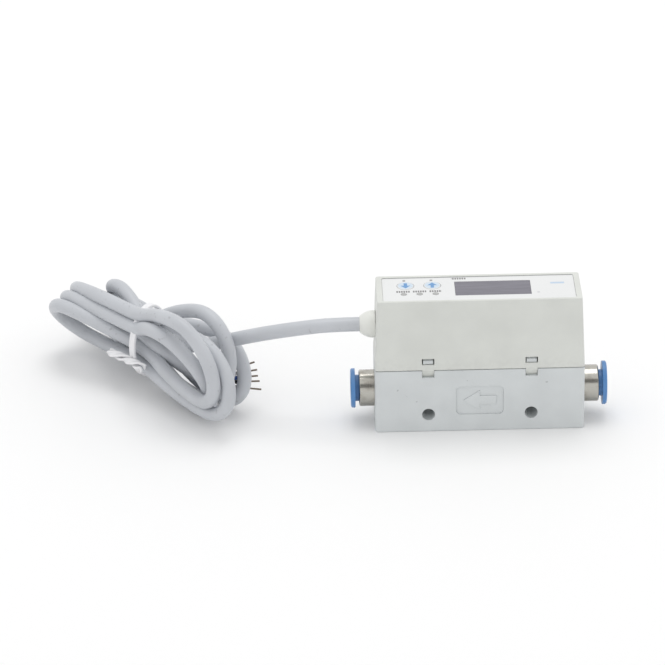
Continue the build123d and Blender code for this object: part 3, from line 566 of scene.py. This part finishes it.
for part in (0, 1):
    path = []
    outward = []
    for step in range(25):
        share = step / 24
        turn = 2 * pi * 1.1 * share + part * pi
        centre = hank_point(22.5 + 13.5 * share, -6.7 + 0.4 * sin(pi * share), 9.6 + 0.6 * share)
        swing = across * cos(turn) + Vector((0, 0, 1)) * sin(turn)
        path.append(centre + swing * (0.00055 * (1 - 0.3 * share)))
        outward.append(swing)
    tail = ribbon("tie_tail_" + str(part + 1), path, outward, 0.0019, 0.0006, tie_white)
    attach(tail, "housing")


# Stripped wires
# The five cores at the cut end, each with its insulation taken off and the strands tinned. They fan
# out behind the last loop.

tinned = Finish("tinned copper", metallic=1.0)
lay = tinned.add.node("ShaderNodeTexWave", {"bands_direction": "DIAGONAL"},
                      {"Vector": tinned.place, "Scale": 2.0})
tinned.into("Base Color", lay.mix(paint(150, 140, 128), paint(112, 100, 90)))
tinned.into("Roughness", lay * 0.2 + 0.3)
tinned.relief(lay, 0.05)

cut_end = Vector((-0.0681, 0.0078, 0.0087))
wire_ends = {
    "brown": (-0.0590, 0.0084, 0.0134), "white": (-0.0584, 0.0094, 0.0106), "blue": (-0.0582, 0.0082, 0.0094),
    "black": (-0.0578, 0.0090, 0.0074), "grey": (-0.0574, 0.0080, 0.0054),
}
for n, (colour, tip) in enumerate(wire_ends.items()):
    tip = Vector(tip)
    rise = Vector((0, 0, (2 - n) * 0.0009))
    start = cut_end + rise * 0.5 + Vector((-0.0008, 0, 0))
    bend = start.lerp(tip, 0.35) + rise * 0.4
    strip = start.lerp(tip, 0.58) + rise * 0.2
    insulation = moulded("core " + colour, paint(*core_colours[colour]), 0.35, 0.003, 0.0)
    wire = strand("wire_" + colour + "_sleeve", [start, bend, strip], 0.00055, insulation, 3)
    bare = strand("wire_" + colour + "_bare", [strip, strip.lerp(tip, 0.5), tip], 0.00026, tinned, 2)
    for piece in (wire, bare):
        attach(piece, "housing")
    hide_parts("wire_" + colour)


# Floor, light and camera
# A white table, even studio light from all round, a soft lamp above and a little behind, and a grey
# card over the camera that only reflections see. The camera stands where the photograph was taken.

table = bpy.data.meshes.new("table")
reach = 3
corners = [(-reach, -reach, 0), (reach, -reach, 0), (reach, reach, 0), (-reach, reach, 0)]
table.from_pydata(corners, [], [(0, 1, 2, 3)])
table_top = bpy.data.objects.new("table", table)
bpy.context.scene.collection.objects.link(table_top)
table_white = Finish("table white", base_color=(0.93, 0.93, 0.93, 1), roughness=0.6, specular_ior_level=0.2)
table.materials.append(table_white.material)

world = bpy.data.worlds.new("studio")
bpy.context.scene.world = world
world.use_nodes = True
room = Shade(world.node_tree)
light_path = room.node("ShaderNodeLightPath")
rays = light_path.socket.node.outputs
seen = room.math("MAXIMUM", light_path, Shade(world.node_tree, rays["Is Glossy Ray"]))
seen = room.math("MAXIMUM", seen, Shade(world.node_tree, rays["Is Transmission Ray"]))
light_level = 0.88
strength = seen * (1 - light_level) + light_level
backing = room.node("ShaderNodeBackground", None, {"Color": (1, 1, 1, 1), "Strength": strength})
world.node_tree.links.new(backing.socket, world.node_tree.nodes["World Output"].inputs[0])

lamp = bpy.data.lights.new("softbox", "AREA")
lamp.shape = "RECTANGLE"
lamp.size = 0.6
lamp.size_y = 0.6
lamp.energy = 3.0
softbox = bpy.data.objects.new("softbox", lamp)
bpy.context.scene.collection.objects.link(softbox)
softbox.location = (-0.02, 0.25, 1.1)
softbox.rotation_euler = (Vector((-0.02, 0.0, 0.02)) - softbox.location).to_track_quat("-Z", "Y").to_euler()

backdrop = bpy.data.meshes.new("backdrop")
corners = [(-1.6, -1.6, 0.75), (1.6, -1.6, 0.75), (1.6, -1.2, 1.43), (-1.6, -1.2, 1.43)]
backdrop.from_pydata(corners, [], [(0, 1, 2, 3)])
card = bpy.data.objects.new("backdrop", backdrop)
bpy.context.scene.collection.objects.link(card)
card_grey = Finish("card grey", base_color=(0.3, 0.3, 0.3, 1), roughness=0.9)
backdrop.materials.append(card_grey.material)
card.visible_camera = False
card.visible_diffuse = False
card.visible_shadow = False

camera_data = bpy.data.cameras.new("camera")
camera_data.sensor_width = 36
camera_data.lens = 216.54
camera_data.clip_start = 0.01
camera = bpy.data.objects.new("camera", camera_data)
bpy.context.scene.collection.objects.link(camera)
camera_place = Vector((-0.050131, -0.941138, 0.488994))
down = radians(26.206)
turned = radians(0.721)
tilt = radians(-0.963)
forward = Vector((sin(turned) * cos(down), cos(turned) * cos(down), -sin(down)))
level = Vector((cos(turned), -sin(turned), 0))
upright = level.cross(forward)
right = level * cos(tilt) + upright * sin(tilt)
top = upright * cos(tilt) - level * sin(tilt)
camera.matrix_world = Matrix((
    (right.x, top.x, -forward.x, camera_place.x),
    (right.y, top.y, -forward.y, camera_place.y),
    (right.z, top.z, -forward.z, camera_place.z),
    (0, 0, 0, 1),
))
bpy.context.scene.camera = camera
bpy.context.scene.view_settings.view_transform = "Standard"
